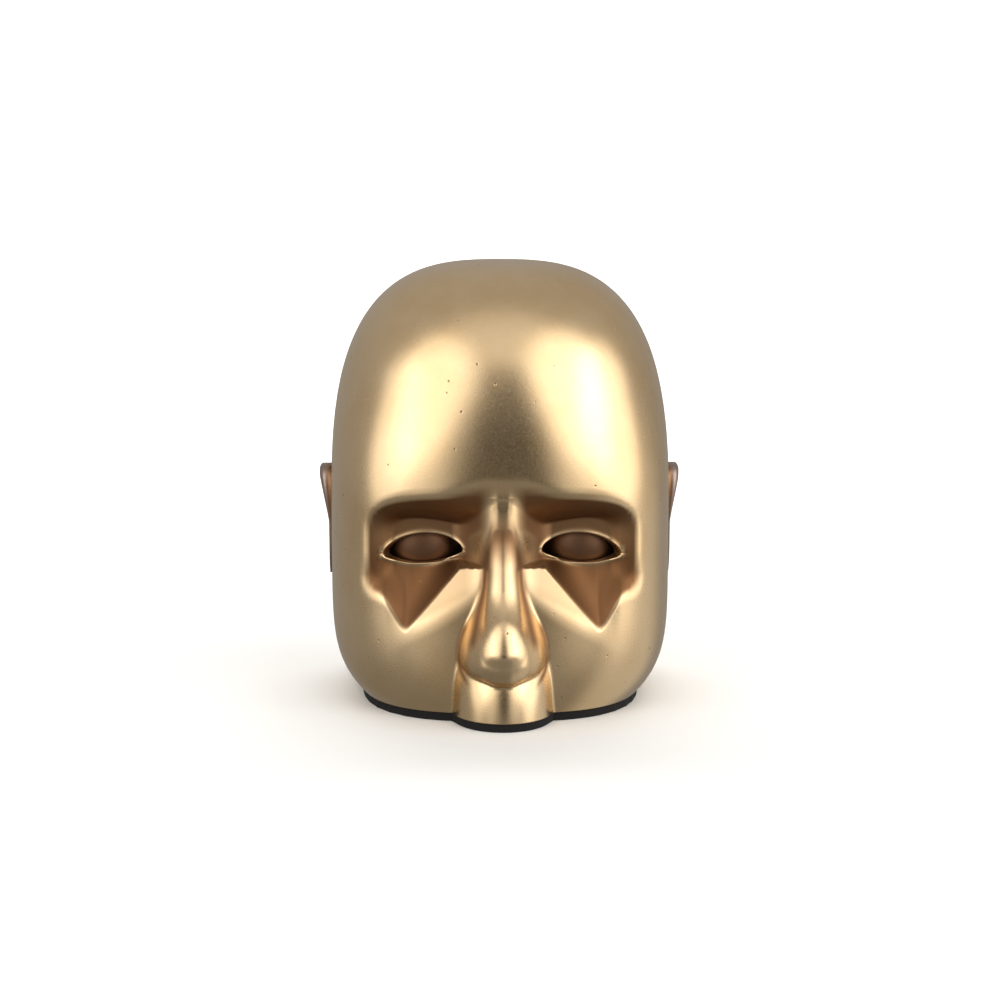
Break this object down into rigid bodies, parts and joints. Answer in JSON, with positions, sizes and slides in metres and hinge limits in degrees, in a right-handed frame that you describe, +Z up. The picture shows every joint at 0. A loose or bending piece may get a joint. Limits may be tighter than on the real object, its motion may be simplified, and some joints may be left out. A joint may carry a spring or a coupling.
{
  "type": "decorative daruma head",
  "caption": "Bald cast-brass daruma head, cut off under the nose, with inset eyes and low ears, standing on a black pad as a shelf ornament or paperweight.",
  "frame": {"origin": "on the underside of the base pad, below the middle of the head, 8 mm in front of the ear seam", "axes": "+Z up, -Y the way the face looks, +X the viewer's right when facing the head"},
  "size_m": [0.0892, 0.0973, 0.105],
  "materials": {
    "satin_brass": "fine satin, hand burnished on the high places, with small casting pits",
    "ear_brass": "satin, a little redder and duller than the shells",
    "eye_bronze": "dark brown polished patina",
    "strip_brass": "raw rolled strip with solder stains",
    "weight_iron": "as cast",
    "plate_wood": "black stained fibreboard",
    "screw_steel": "zinc plated",
    "pad_rubber": "fine-celled black foam rubber, cut by hand"
  },
  "bodies": {
    "root": {"face_shell": "satin_brass", "rear_shell": "satin_brass", "left_ear": "ear_brass", "right_ear": "ear_brass", "left_eye": "eye_bronze", "right_eye": "eye_bronze", "seam_frame": "strip_brass", "ballast": "weight_iron", "base_plate": "plate_wood", "frame_screws": "screw_steel", "ballast_screws": "screw_steel", "base_pad": "pad_rubber"}
  },
  "joints": []
}
